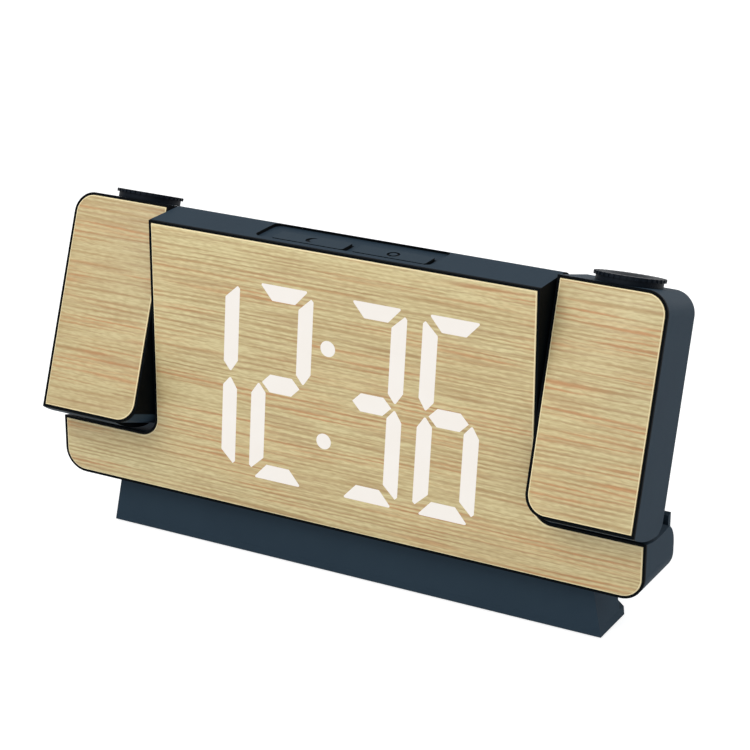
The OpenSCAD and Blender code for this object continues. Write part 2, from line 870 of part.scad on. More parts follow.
module base_plinth() {
    color(shell_colour) difference() {
        union() {
            difference() {
                intersection() {
                    slab(base_front, base_front + plinth_d) flared_outline(0);
                    translate([-base_w, base_front, plate_top])
                        cube([2 * base_w, plinth_d, base_h - plate_top]);
                }
                intersection() {
                    slab(base_front + plinth_wall, base_front + plinth_d - plinth_wall)
                        flared_outline(plinth_wall);
                    translate([-base_w, base_front, 0])
                        cube([2 * base_w, plinth_d, base_h - plinth_wall]);
                }
            }
            both_sides() for (x = plinth_post_x)
                translate([x, plinth_mid, plate_top])
                    cylinder(h = base_h - plinth_wall - plate_top + eps, r = boss_r);
        }
        both_sides() for (x = base_screw_x)
            translate([x, body_front + pivot_y, base_h - plinth_wall - 1])
                cylinder(h = plinth_wall + 2, r = screw_r + 0.2);
        both_sides() for (x = plinth_post_x)
            translate([x, plinth_mid, plate_top - 1])
                cylinder(h = short_screw_l + 1, r = screw_r);
    }
}

module base_plate() {
    color(shell_colour) difference() {
        intersection() {
            slab(base_front, base_d / 2) flared_outline(0);
            translate([0, 0, mat_proud]) linear_extrude(base_plate_t) base_plan();
        }
        translate([0, 0, -1]) linear_extrude(mat_t + 1)
            round_rect(mat_w + 0.2, mat_d + 0.2, mat_r);
        both_sides() for (x = plinth_post_x) translate([x, plinth_mid, 0]) {
            cylinder(h = base_h, r = screw_r + 0.2);
            cylinder(h = mat_t + screw_head_h, r = screw_head_r + 0.1);
        }
    }
}

module foot_mat() {
    color(trim_colour) linear_extrude(mat_t) round_rect(mat_w, mat_d, mat_r);
}

// A screw that points up, with its head's underside at the origin
module upward_screw(l) {
    rotate([90, 0, 0]) screw(l);
}

// Screws that hold the body on the plinth
module base_screws() {
    color(steel_colour) both_sides() for (x = base_screw_x)
        translate([x, body_front + pivot_y, base_h - plinth_wall])
            upward_screw(base_screw_l);
}

// Screws that hold the rear cover on the front shell
module shell_screws() {
    color(steel_colour) in_body() both_sides() for (spot = shell_boss_spots)
        translate([spot[0], body_d - screw_head_h - 0.1, spot[1]])
            mirror([0, 1, 0]) screw(shell_screw_l);
}

// The short screws of the main board, battery door and bottom plate
module short_screws() {
    color(steel_colour) {
        in_body() for (x = [-main_post_x, main_post_x], z = main_post_z)
            translate([x, main_front, z]) screw(short_screw_l);
        in_body() translate([cell_at[0], body_d - 0.5, cell_at[1] + door_w / 2 + door_ear / 2])
            mirror([0, 1, 0]) screw(short_screw_l);
        both_sides() for (x = plinth_post_x)
            translate([x, plinth_mid, mat_t + screw_head_h]) upward_screw(short_screw_l);
    }
}

// ---------------------------------------------------------------- arms

// An arm's front outline, drawn in by inset: round at the outer top and inner bottom
module arm_outline(inset) {
    difference() {
        translate([inset, -arm_top + inset]) square([arm_w - 2 * inset, arm_h - 2 * inset]);
        translate([inset, -arm_top + inset]) corner_cut(arm_r - inset);
        translate([arm_w - inset, arm_top - inset]) rotate(180) corner_cut(arm_r - inset);
    }
}

// An arm's side view, drawn in by inset: a sole round about the pivot, and a round heel
module side_outline(inset) {
    difference() {
        translate([-arm_d / 2, 2 * heel_z]) square([arm_d, 2 * arm_h]);
        // Both arcs end on the line from the pivot through the heel's centre
        difference() {
            polygon([[heel_y / 2, heel_z / 2], [-arm_d, heel_z / 2], [-arm_d, 2 * heel_z],
                     [2 * heel_y, 2 * heel_z]]);
            circle(sole_r - inset);
        }
        difference() {
            polygon([[heel_y, heel_z], [2 * heel_y, 2 * heel_z], [arm_d, 2 * heel_z],
                     [arm_d, heel_z]]);
            translate([heel_y, heel_z]) circle(arm_heel_r - inset);
        }
    }
}

// The arm's outer shape drawn in by inset, from y0 back to y1
module arm_block(y0, y1, inset) {
    intersection() {
        slab(y0, y1) {
            arm_outline(inset);
            // The sole below the front edge, beside the round corner
            translate([arm_r + inset, -sole_r]) square([arm_w - arm_r - 2 * inset, sole_r]);
        }
        rotate([90, 0, 90]) linear_extrude(arm_w) side_outline(inset);
    }
}

module arm_shell() {
    color(shell_colour) difference() {
        union() {
            difference() {
                arm_block(-arm_d / 2, arm_d / 2 - arm_wall, 0);
                arm_block(-arm_d / 2 + web_y, arm_d / 2, arm_wall);
            }
            for (spot = arm_screw_spots) translate([spot[0], 0, spot[1]])
                bar_y(arm_boss_r, -arm_d / 2 + web_y - eps, arm_d / 2 - arm_heel_r);
        }
        slab(-arm_d / 2 - 1, -arm_d / 2 + plate_seat) arm_outline(rim);
        bar_x(shaft_d / 2, -1, arm_wall + 1);
        translate([$axis_x, 0, 0]) cylinder(h = arm_top + 1, r = tube_d / 2 + 0.1);
        for (spot = arm_screw_spots) translate([spot[0], 0, spot[1]])
            bar_y(screw_r, 0, arm_d / 2);
    }
}

module arm_cover() {
    color(shell_colour) difference() {
        union() {
            arm_block(arm_d / 2 - arm_wall, arm_d / 2, 0);
            for (spot = arm_screw_spots) translate([spot[0], 0, spot[1]])
                bar_y(arm_boss_r, arm_d / 2 - arm_heel_r, arm_d / 2 - arm_wall + eps);
        }
        for (spot = arm_screw_spots) translate([spot[0], 0, spot[1]]) {
            bar_y(screw_r, 0, arm_d / 2);
            bar_y(screw_head_r + 0.1, arm_d / 2 - screw_head_h - 0.1, arm_d / 2 + 1);
        }
    }
}

module arm_panel() {
    color(wood_colour) slab(-arm_d / 2 - plate_proud, -arm_d / 2 + plate_seat)
        arm_outline(rim);
}

module arm_screws() {
    color(steel_colour) for (spot = arm_screw_spots)
        translate([spot[0], arm_d / 2 - screw_head_h - 0.1, spot[1]])
            mirror([0, 1, 0]) screw(shell_screw_l);
}

module pivot_shaft() {
    color(trim_colour) difference() {
        union() {
            bar_x(shaft_d / 2, shaft_start, shaft_end);
            bar_x(shaft_flange_r, shaft_start, shaft_start + shaft_flange_t);
        }
        bar_x(shaft_bore_r, shaft_start - 1, shaft_end + 1);
    }
}

// A flat ring along X
module ring_x(inner_r, outer_r, x0, x1) {
    difference() {
        bar_x(outer_r, x0, x1);
        bar_x(inner_r, x0 - 1, x1 + 1);
    }
}

module friction_washer() {
    color(brass_colour)
        ring_x(shaft_d / 2 + running_clear, shaft_flange_r, washer_end, wall_inner);
}

module retaining_clip() {
    color(steel_colour) ring_x(shaft_d / 2, shaft_d / 2 + 2, arm_wall, arm_wall + clip_t);
}

// ---------------------------------------------------------------- projector

// Draws its children on the projector's axis, from the arm's top
module on_axis() {
    translate([$axis_x, 0, arm_top]) children();
}

module focus_ring() {
    skirt_r = ring_d / 2 - ring_skirt_in;
    color(trim_colour) on_axis() difference() {
        union() {
            translate([0, 0, ring_base]) cylinder(h = ring_h, r = skirt_r);
            translate([0, 0, ring_base + ring_h - ring_step])
                cylinder(h = ring_step, r = ring_d / 2 - rib_r);
            for (i = [0 : ring_ribs - 1]) rotate(i * 360 / ring_ribs)
                translate([ring_d / 2 - rib_r, 0, ring_base + ring_h - ring_step])
                    cylinder(h = ring_step, r = rib_r);
        }
        translate([0, 0, -1]) cylinder(h = ring_h + 3, r = ring_bore_r);
        translate([0, 0, -1])
            cylinder(h = tube_above + 1 + 0.1, r = tube_d / 2 + running_clear);
        translate([0, 0, ring_base + ring_h - 0.7])
            cylinder(h = 2, r1 = ring_bore_r, r2 = ring_bore_r + 3);
    }
}

module lens_tube() {
    color(chip_colour) on_axis() difference() {
        union() {
            translate([0, 0, -tube_l]) cylinder(h = tube_l + tube_above, r = tube_d / 2);
            translate([0, 0, -arm_wall - tube_flange_t])
                cylinder(h = tube_flange_t, r = tube_flange_r);
        }
        translate([0, 0, -tube_l - 1])
            cylinder(h = tube_l + tube_above + 2, r = barrel_d / 2 + running_clear);
    }
}

module lens_barrel() {
    color(trim_colour) on_axis() translate([0, 0, barrel_top - barrel_l]) difference() {
        cylinder(h = barrel_l, r = barrel_d / 2);
        translate([0, 0, -1]) cylinder(h = barrel_l + 2, r = barrel_bore_r);
        translate([0, 0, barrel_l - lens_seat - lens_t])
            cylinder(h = lens_t, r = lens_d / 2);
    }
}

// A lens with two bulging faces, standing on z = 0
module round_lens(d, t, bulge) {
    face_r = (pow(d / 2, 2) + pow(bulge, 2)) / (2 * bulge);
    rotate_extrude() intersection() {
        square([d / 2, t]);
        translate([0, face_r]) circle(face_r, $fn = 256);
        translate([0, t - face_r]) circle(face_r, $fn = 256);
    }
}

module projection_lens() {
    color(glass_colour) on_axis()
        translate([0, 0, barrel_top - lens_seat - lens_t])
            round_lens(lens_d, lens_t, lens_bulge);
}

// Box under the lens tube that holds the slide, the condenser and the lamp
module lamp_housing() {
    inner = housing_w - 2 * housing_wall;
    color(chip_colour) on_axis() translate([0, 0, housing_top - housing_h]) difference() {
        translate([-housing_w / 2, -housing_w / 2, 0]) cube([housing_w, housing_w, housing_h]);
        translate([-inner / 2, -inner / 2, -1])
            cube([inner, inner, housing_h - condenser_drop + 1]);
        translate([0, 0, housing_h - condenser_drop - condenser_t])
            cylinder(h = condenser_drop + condenser_t + 1, r = condenser_d / 2 - 0.5);
        translate([-slide_w / 2, -slide_w / 2, housing_h - slide_t])
            cube([slide_w, slide_w, slide_t + 1]);
    }
}

module image_slide() {
    color("#5a6068") on_axis()
        translate([-slide_w / 2, -slide_w / 2, housing_top - slide_t])
            cube([slide_w, slide_w, slide_t]);
}

module condenser_lens() {
    color(glass_colour) on_axis()
        translate([0, 0, housing_top - condenser_drop - condenser_t])
            round_lens(condenser_d, condenser_t, 0.9);
}

// The lamp board with its dome lamp
module lamp_board() {
    color(board_colour) on_axis() translate([0, 0, housing_top - housing_h]) {
        translate([-lamp_board_w / 2, -housing_w / 2, -1.2])
            cube([lamp_board_w, housing_w, 1.2]);
        cylinder(h = lamp_h - lamp_r, r = lamp_r);
        translate([0, 0, lamp_h - lamp_r]) sphere(lamp_r);
    }
}

// ---------------------------------------------------------------- left and right

module left_arm_shell() in_arm(-1) arm_shell();
module left_arm_cover() in_arm(-1) arm_cover();
module left_arm_panel() in_arm(-1) arm_panel();
module left_pivot_shaft() in_arm(-1) pivot_shaft();
module left_friction_washer() in_arm(-1) friction_washer();
module left_retaining_clip() in_arm(-1) retaining_clip();
module left_focus_ring() in_arm(-1) focus_ring();
module left_lens_tube() in_arm(-1) lens_tube();
module left_lens_barrel() in_arm(-1) lens_barrel();
module left_projection_lens() in_arm(-1) projection_lens();
module left_lamp_housing() in_arm(-1) lamp_housing();
module left_image_slide() in_arm(-1) image_slide();
module left_condenser_lens() in_arm(-1) condenser_lens();
module left_lamp_board() in_arm(-1) lamp_board();
module left_arm_screws() in_arm(-1) arm_screws();
module right_arm_shell() in_arm(1) arm_shell();
module right_arm_cover() in_arm(1) arm_cover();
module right_arm_panel() in_arm(1) arm_panel();
module right_pivot_shaft() in_arm(1) pivot_shaft();
module right_friction_washer() in_arm(1) friction_washer();
module right_retaining_clip() in_arm(1) retaining_clip();
module right_focus_ring() in_arm(1) focus_ring();
module right_lens_tube() in_arm(1) lens_tube();
module right_lens_barrel() in_arm(1) lens_barrel();
module right_projection_lens() in_arm(1) projection_lens();
module right_lamp_housing() in_arm(1) lamp_housing();
module right_image_slide() in_arm(1) image_slide();
module right_condenser_lens() in_arm(1) condenser_lens();
module right_lamp_board() in_arm(1) lamp_board();
module right_arm_screws() in_arm(1) arm_screws();

front_shell();
rear_cover();
face_panel();
digit_lenses();
light_reflector();
display_board();
display_leds();
main_board();
board_chips();
tact_switches();
button_board();
buzzer();
cell_holder();
coin_cell();
battery_door();
power_socket();
temperature_sensor();
snooze_button();
projection_button();
set_key();
up_key();
down_key();
alarm_key();
dimmer_key();
base_plinth();
base_plate();
foot_mat();
base_screws();
shell_screws();
short_screws();
left_arm_shell();
left_arm_cover();
left_arm_panel();
left_pivot_shaft();
left_friction_washer();
left_retaining_clip();
left_focus_ring();
left_lens_tube();
left_lens_barrel();
left_projection_lens();
left_lamp_housing();
left_image_slide();
left_condenser_lens();
left_lamp_board();
left_arm_screws();
right_arm_shell();
right_arm_cover();
right_arm_panel();
right_pivot_shaft();
right_friction_washer();
right_retaining_clip();
right_focus_ring();
right_lens_tube();
right_lens_barrel();
right_projection_lens();
right_lamp_housing();
right_image_slide();
right_condenser_lens();
right_lamp_board();
right_arm_screws();
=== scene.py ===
import json
import math

import bmesh
import bpy
from mathutils import Matrix, Vector


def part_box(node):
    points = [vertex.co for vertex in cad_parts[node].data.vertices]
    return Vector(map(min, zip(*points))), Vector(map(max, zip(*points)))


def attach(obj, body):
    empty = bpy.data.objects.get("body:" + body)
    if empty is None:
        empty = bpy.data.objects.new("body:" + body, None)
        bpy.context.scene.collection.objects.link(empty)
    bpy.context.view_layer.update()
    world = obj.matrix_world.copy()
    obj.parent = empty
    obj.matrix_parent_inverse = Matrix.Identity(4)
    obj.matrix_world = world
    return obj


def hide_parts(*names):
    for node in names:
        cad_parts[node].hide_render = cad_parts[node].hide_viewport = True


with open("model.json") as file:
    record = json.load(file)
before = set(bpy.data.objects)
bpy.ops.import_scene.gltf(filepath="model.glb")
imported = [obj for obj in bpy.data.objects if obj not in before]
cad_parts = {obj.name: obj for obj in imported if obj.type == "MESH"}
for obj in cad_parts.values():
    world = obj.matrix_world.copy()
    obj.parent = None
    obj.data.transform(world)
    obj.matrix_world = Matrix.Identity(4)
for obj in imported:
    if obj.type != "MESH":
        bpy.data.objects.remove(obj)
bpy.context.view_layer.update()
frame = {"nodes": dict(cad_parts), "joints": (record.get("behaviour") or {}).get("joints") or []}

MM = 0.001
SIDES = ("left", "right")
OUTWARD = {"left": -1, "right": 1}
UP = Vector((0, 0, 1))
BACK = Vector((0, 1, 0))

# ---------------------------------------------------------------- sizes, in metres

body_low, body_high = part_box("front_shell")
plate_low, plate_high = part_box("face_panel")
BODY_BOTTOM, BODY_TOP = body_low.z, body_high.z
FRONT = body_low.y
SEAM = body_high.y           # where the front shell meets the rear cover
RIM = plate_low.x - body_low.x    # width of the rim round the face plate
BLOCK_HALF = 65.2 * MM       # half the width of the block between the arms
LEDGE_TOP = BODY_BOTTOM + 18.2 * MM
CORNER_R = 7.3 * MM          # of the body's two bottom corners
NOTCH_R = 5.6 * MM           # where a ledge runs into the block
ARM_CORNER_R = 6.8 * MM      # of an arm's two round corners
CORNER_STEPS = 14            # flats in a plate's round corner

PLATE_EDGE = 0.4 * MM        # the cut edge round each wood plate, painted pale as a highlight
RIM_DEPTH = 0.9 * MM         # how far back the rim's painted shade reaches
POCKET_DEPTH = 1.0 * MM      # of the pocket that the top buttons stand in
POCKET_REACH = 32 * MM       # its walls lie nearer to the middle than this
POCKET_BACK = SEAM - 2.5 * MM    # and further forward than this
BUTTON_DARK = BODY_TOP - 0.1 * MM    # a button's faces below this are dark: painted shade on its sides, dark marks in its top

# How far the mouldings' edges are rounded
SHELL_EDGE = 0.3 * MM
COVER_EDGE = 0.25 * MM
BUTTON_EDGE = 0.12 * MM
KEY_EDGE = 0.25 * MM
KNOB_EDGE = 0.12 * MM
PLINTH_EDGE = 0.4 * MM
BASE_PLATE_EDGE = 0.3 * MM
DOOR_EDGE = 0.2 * MM
MAT_EDGE = 0.2 * MM

SEGMENT_CORNER = 0.15 * MM   # how far a lit segment's corners are rounded
SEGMENT_POINT = 1.1 * MM     # and its acute points

RIBS = 36                    # round a focus knob
FLATS_PER_RIB = 4            # from rib to rib, half of them on the rib
RIB_DEPTH = 0.35 * MM
SKIRT_IN = 0.7 * MM          # a knob's lower band is this much smaller in radius
GRIP_BAND = 1.0 * MM         # height of a knob's ribbed upper band
KNOB_DROP = 0.1 * MM         # how far the skirt reaches into the gap under a knob
KNOB_BORE_R = 4.6 * MM
DISH_REACH = 2.1 * MM        # how far the dish round a knob's bore reaches out
DISH_DEPTH = 0.7 * MM
TUBE_R = 7.05 * MM           # the lens tube under a knob, with its clearance
TUBE_REACH = 0.95 * MM       # how far the knob is hollow for that tube

SCREW_R = 1.0 * MM
SCREW_HEAD_R = 1.9 * MM
SCREW_HEAD_H = 1.3 * MM
SCREW_HEAD_ROUND = 0.5 * MM
SCREW_OVERLAP = 0.1 * MM     # of shank and head, so that they fuse
CROSS_LENGTH = 2.4 * MM      # of the cross in a screw's head
CROSS_WIDTH = 0.5 * MM
CROSS_DEPTH = 0.6 * MM

RING_PITCH = 1.45 * MM       # of the veneer's growth lines
TREAD_PITCH = 1.6 * MM       # of the foot mat's ribs

NEAR = 0.1 * MM              # points closer than this are in one place
SHARP = math.radians(35)     # an edge that turns more is rounded or shaded sharp
FLAT = math.radians(0.5)     # faces that turn less than this are one
# How much of a face's normal lies along a direction
FACING = 0.9                 # more than this: the face looks that way
MOSTLY = 0.6                 # more than this: it does so at least roughly
WALL = 0.5                   # less than this: it is a wall that runs that way
SLOPING = (0.02, 0.99)       # between these: it belongs to a rounded edge


# ---------------------------------------------------------------- modelling helpers

def activate(obj):
    """Makes obj the only selected object."""
    bpy.ops.object.select_all(action="DESELECT")
    obj.select_set(True)
    bpy.context.view_layer.objects.active = obj


def settle(obj, name):
    """Names a new primitive and moves its place into its mesh."""
    obj.name = obj.data.name = name
    activate(obj)
    bpy.ops.object.transform_apply(location=True, rotation=True, scale=True)
    return obj


def block(name, low, high):
    """A box between two corners."""
    low, high = Vector(low), Vector(high)
    bpy.ops.mesh.primitive_cube_add(size=1, location=(low + high) / 2)
    obj = bpy.context.object
    obj.scale = high - low
    return settle(obj, name)


def rod(name, radius, start, end, sides=64, end_radius=None):
    """A round bar or cone from start to end."""
    start, end = Vector(start), Vector(end)
    along = end - start
    bpy.ops.mesh.primitive_cone_add(
        vertices=sides, radius1=radius, radius2=radius if end_radius is None else end_radius,
        depth=along.length, location=(start + end) / 2,
        rotation=along.to_track_quat("Z", "Y").to_euler())
    return settle(bpy.context.object, name)


def pick(obj, kind, test):
    """Opens obj in edit mode with only the faces or edges that pass the test selected."""
    activate(obj)
    bpy.ops.object.mode_set(mode="EDIT")
    bpy.ops.mesh.select_mode(type=kind)
    bpy.ops.mesh.select_all(action="DESELECT")
    mesh = bmesh.from_edit_mesh(obj.data)
    for item in mesh.faces if kind == "FACE" else mesh.edges:
        item.select_set(bool(test(item)))
    bmesh.update_edit_mesh(obj.data)


def done():
    """Leaves edit mode."""
    bpy.ops.object.mode_set(mode="OBJECT")


def middle(edge):
    """The point half-way along an edge."""
    return (edge.verts[0].co + edge.verts[1].co) / 2


def runs_along(edge, direction):
    """Whether an edge is parallel to a direction."""
    along = edge.verts[1].co - edge.verts[0].co
    return along.length > 0 and abs(along.normalized().dot(direction)) > 0.999


def is_sharp(edge, degrees=30):
    """Whether two faces meet at an edge with at least this turn."""
    return len(edge.link_faces) == 2 and edge.calc_face_angle(0) > math.radians(degrees)


def bevel_edges(obj, test, width, segments):
    """Rounds the edges that pass the test."""
    pick(obj, "EDGE", test)
    bpy.ops.mesh.bevel(offset=width, segments=segments, affect="EDGES", clamp_overlap=False)
    done()


def extrude(vector):
    """Extrudes the selected faces by a vector."""
    bpy.ops.mesh.extrude_region_move(TRANSFORM_OT_translate={"value": tuple(vector)})


def modify(obj, kind, **settings):
    """Adds a modifier, sets it and applies it."""
    modifier = obj.modifiers.new(kind, kind)
    for key, value in settings.items():
        setattr(modifier, key, value)
    activate(obj)
    bpy.ops.object.modifier_apply(modifier=modifier.name)


def combine(obj, tools, operation):
    """Cuts the tools out of obj, or fuses them to it, and removes the tools."""
    for tool in tools:
        modify(obj, "BOOLEAN", operation=operation, object=tool, solver="EXACT")
        bpy.data.objects.remove(tool)


def soften(obj, width):
    """Rounds every sharp edge a little and shades the rest smooth."""
    activate(obj)
    bpy.ops.object.shade_smooth()
    modify(obj, "BEVEL", width=width, segments=2, limit_method="ANGLE", angle_limit=SHARP,
           use_clamp_overlap=True, harden_normals=True)
    modify(obj, "WEIGHTED_NORMAL", mode="FACE_AREA", weight=90, keep_sharp=True)
    return obj


def shade(obj):
    """Shades obj smooth, except at its sharp edges."""
    activate(obj)
    bpy.ops.object.shade_smooth_by_angle(angle=SHARP)
    return obj


def copy_of(node, name):
    """A copy of a CAD node with its points merged and its flat faces made whole."""
    obj = bpy.data.objects.new(name, frame["nodes"][node].data.copy())
    bpy.context.scene.collection.objects.link(obj)
    activate(obj)
    obj.data.materials.clear()
    bpy.ops.object.mode_set(mode="EDIT")
    bpy.ops.mesh.select_all(action="SELECT")
    bpy.ops.mesh.remove_doubles(threshold=0.002 * MM)
    bpy.ops.mesh.dissolve_limited(angle_limit=FLAT)
    done()
    return obj


def split_at(obj, point, direction):
    """Cuts the faces of obj along a plane and leaves it whole."""
    pick(obj, "FACE", lambda face: True)
    bpy.ops.mesh.bisect(plane_co=point, plane_no=direction)
    done()
    return obj


def joined(name, objects):
    """Several objects as one."""
    bpy.ops.object.select_all(action="DESELECT")
    for obj in objects:
        obj.select_set(True)
    bpy.context.view_layer.objects.active = objects[0]
    bpy.ops.object.join()
    objects[0].name = objects[0].data.name = name
    return objects[0]


def copied(obj, name, turn):
    """A copy of obj with its own mesh, moved by a matrix."""
    twin = bpy.data.objects.new(name, obj.data.copy())
    twin.data.transform(turn)
    bpy.context.scene.collection.objects.link(twin)
    return twin


def paint(obj, material, test=None):
    """Gives obj a material, all over or on the faces that pass the test."""
    obj.data.materials.append(material)
    if test is not None:
        index = len(obj.data.materials) - 1
        for face in obj.data.polygons:
            if test(face):
                face.material_index = index


def register(obj, body, slot, *nodes):
    """Says which body a piece rides on and hides the CAD nodes it stands for; slot is not used."""
    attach(obj, body)
    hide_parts(*nodes)


# ---------------------------------------------------------------- frames of the arms

def arm_frame(side):
    """The matrix from an arm's own frame, upright about its pivot, to the clock's."""
    joint = next(j for j in frame["joints"] if j["name"] == f"{side}_arm_tilt")
    tilt = -math.radians(joint["range_deg"][0])
    return Matrix.Translation(joint["pos_m"]) @ Matrix.Rotation(-tilt, 4, "X")


def corners(mesh, turn):
    """A mesh's lowest and highest corners in a frame."""
    back = turn.inverted()
    points = [back @ vertex.co for vertex in mesh.vertices]
    return tuple(Vector([end(p[i] for p in points) for i in range(3)]) for end in (min, max))


def box_in(node, turn):
    """A CAD node's lowest and highest corners in a frame."""
    return corners(frame["nodes"][node].data, turn)


def arm_front(side):
    """The direction that an arm faces, and how far along it its shell's front lies."""
    turn = arm_frame(side)
    facing = turn.to_3x3() @ -BACK
    shell_low = box_in(f"{side}_arm_shell", turn)[0]
    return facing, (turn @ Vector((0, shell_low.y, 0))).dot(facing)


def solids_in(node, turn):
    """The boxes of a CAD node's separate solids in a frame."""
    activate(copy_of(node, "solids"))
    bpy.ops.object.mode_set(mode="EDIT")
    bpy.ops.mesh.separate(type="LOOSE")
    done()
    boxes = []
    for part in list(bpy.context.selected_objects):
        boxes.append(corners(part.data, turn))
        bpy.data.objects.remove(part)
    return boxes


# ---------------------------------------------------------------- materials

def linear(colour):
    """An sRGB hex colour as linear RGBA."""
    shares = [int(colour[i:i + 2], 16) / 255 for i in (1, 3, 5)]
    return [c / 12.92 if c <= 0.04045 else ((c + 0.055) / 1.055) ** 2.4 for c in shares] + [1]


def add(tree, kind, sockets=None, **settings):
    """Adds a shader node with its settings; sockets gives values or links for its inputs."""
    made = tree.nodes.new("ShaderNode" + kind)
    for key, value in settings.items():
        setattr(made, key, value)
    for key, value in (sockets or {}).items():
        if isinstance(value, bpy.types.NodeSocket):
            tree.links.new(value, made.inputs[key])
        else:
            made.inputs[key].default_value = value
    return made


def per_metre(size):
    """A texture's scale for a feature of this size in millimetres."""
    return 1 / (size * MM)


def per_band(pitch):
    """A wave texture's scale for bands this far apart, in metres."""
    return math.pi / 10 / pitch


def stretch(length, width):
    """A mapping's scales for features of this length along X and this width, in mm."""
    return [per_metre(length), per_metre(width), per_metre(width)]


def blank(name):
    """A new material with an empty node tree, and that tree."""
    material = bpy.data.materials.new(name)
    material.use_nodes = True
    material.node_tree.nodes.clear()
    return material, material.node_tree


def moulded(name, colour, darker, grain, depth, roughness, gloss=0.25):
    """Moulded plastic: the grain of a spark-eroded tool, drawn coarse enough to show, and a
    faint mottle in the colour. grain is the grain's width and depth its relief, in mm."""
    material, tree = blank(name)
    spot = add(tree, "TexCoord").outputs["Object"]
    spark = add(tree, "TexNoise", {"Vector": spot, "Scale": per_metre(grain),
                                   "Detail": 3.0, "Roughness": 0.6})
    mottle = add(tree, "TexNoise", {"Vector": spot, "Scale": per_metre(14), "Detail": 2.0})
    tint = add(tree, "Mix", {0: mottle.outputs[0], 6: linear(darker), 7: linear(colour)},
               data_type="RGBA")
    rough = add(tree, "MapRange", {0: spark.outputs[0], 3: roughness - 0.05,
                                   4: roughness + 0.07})
    bump = add(tree, "Bump", {"Height": spark.outputs[0], "Distance": depth * MM,
                              "Strength": 0.5})
    shader = add(tree, "BsdfPrincipled", {
        "Base Color": tint.outputs[2], "Roughness": rough.outputs[0], "IOR": 1.53,
        "Specular IOR Level": gloss, "Normal": bump.outputs[0]})
    add(tree, "OutputMaterial", {"Surface": shader.outputs[0]})
    return material


def bamboo_veneer(name, light, dark, cut_at):
    """Bamboo veneer under matt lacquer: straight fibres along X with a growth line every
    millimetre and a half, drawn a little coarse, red in some patches and dull in others.
    cut_at is where in the sheet the piece was cut, in mm."""
    material, tree = blank(name)
    sheet = add(tree, "Mapping", {"Vector": add(tree, "TexCoord").outputs["Object"],
                                  "Location": [c * MM for c in cut_at]})
    spots = {"sheet": sheet.outputs[0]}

    # All of it is a little ragged, and the growth lines sway more than the fibres do: the
    # length and width of a sway and its height, in mm
    for spot, before, length, width, height in (
            ("ragged", "sheet", 3.0, 0.8, 0.45), ("lines", "ragged", 60, 3.0, 2.6),
            ("fibres", "ragged", 14, 3.5, 0.7)):
        along = add(tree, "Mapping", {"Vector": spots[before],
                                      "Scale": stretch(length, width)})
        sway = add(tree, "TexNoise", {"Vector": along.outputs[0], "Scale": 1.0, "Detail": 1.0})
        push = add(tree, "VectorMath", {0: sway.outputs[1], 1: (0, 0, height * MM)},
                   operation="MULTIPLY")
        spots[spot] = add(tree, "VectorMath", {0: spots[before], 1: push.outputs[0]}).outputs[0]

    # What varies along the fibres: its length and width, its detail, and the part of the
    # noise that becomes 0 to 1
    layers = {}
    for layer, length, width, detail, low, high in (
            ("boards", 120, 8, 1.0, 0.4, 0.6), ("red", 45, 5, 1.0, 0.44, 0.58),
            ("strength", 24, 1.5, 0.0, 0.2, 0.62), ("streaks", 30, 0.7, 0.0, 0.55, 0.66),
            ("flecks", 2.2, 0.35, 0.0, 0.35, 0.7)):
        along = add(tree, "Mapping", {"Vector": spots["fibres"],
                                      "Scale": stretch(length, width)})
        noise = add(tree, "TexNoise", {"Vector": along.outputs[0], "Scale": 1.0,
                                       "Detail": detail})
        layers[layer] = add(tree, "MapRange", {0: noise.outputs[0], 1: low, 2: high}).outputs[0]

    rings = add(tree, "TexWave", {"Vector": spots["lines"], "Scale": per_band(RING_PITCH)},
                bands_direction="Z")
    layers["rings"] = add(tree, "MapRange", {0: rings.outputs[1], 1: 0.2, 2: 1.0}).outputs[0]
    for both, one, other in (("lines", "rings", "strength"), ("red lines", "lines", "red")):
        layers[both] = add(tree, "Math", {0: layers[one], 1: layers[other]},
                           operation="MULTIPLY").outputs[0]

    colour = linear(light)
    for tint, layer, share in ((dark, "boards", 0.34), ("#c89c66", "red", 0.08),
                               ("#9c7c4d", "lines", 0.68), ("#c5794a", "red lines", 0.42),
                               ("#946c45", "streaks", 0.34), ("#96794c", "flecks", 0.34)):
        amount = add(tree, "Math", {0: layers[layer], 1: share}, operation="MULTIPLY")
        colour = add(tree, "Mix", {0: amount.outputs[0], 6: colour, 7: linear(tint)},
                     data_type="RGBA").outputs[2]
    rough = add(tree, "MapRange", {0: layers["lines"], 3: 0.5, 4: 0.62})
    bump = add(tree, "Bump", {"Height": layers["lines"], "Distance": 0.02 * MM,
                              "Strength": 0.35})
    shader = add(tree, "BsdfPrincipled", {"Base Color": colour, "Roughness": rough.outputs[0],
                                          "IOR": 1.5, "Normal": bump.outputs[0]})
    add(tree, "OutputMaterial", {"Surface": shader.outputs[0]})
    return material


def lit_acrylic(name):
    """Opal acrylic light guides with the lamps on: they glow an even warm white."""
    material, tree = blank(name)
    haze = add(tree, "TexNoise", {"Vector": add(tree, "TexCoord").outputs["Object"],
                                  "Scale": per_metre(9)})
    glow = add(tree, "Mix", {0: haze.outputs[0], 6: linear("#f6f0e9"),
                             7: linear("#faf6f1")}, data_type="RGBA")
    shader = add(tree, "BsdfPrincipled", {
        "Base Color": linear("#6a6660"), "Roughness": 0.35, "IOR": 1.49,
        "Emission Color": glow.outputs[2], "Emission Strength": 0.76})
    add(tree, "OutputMaterial", {"Surface": shader.outputs[0]})
    return material


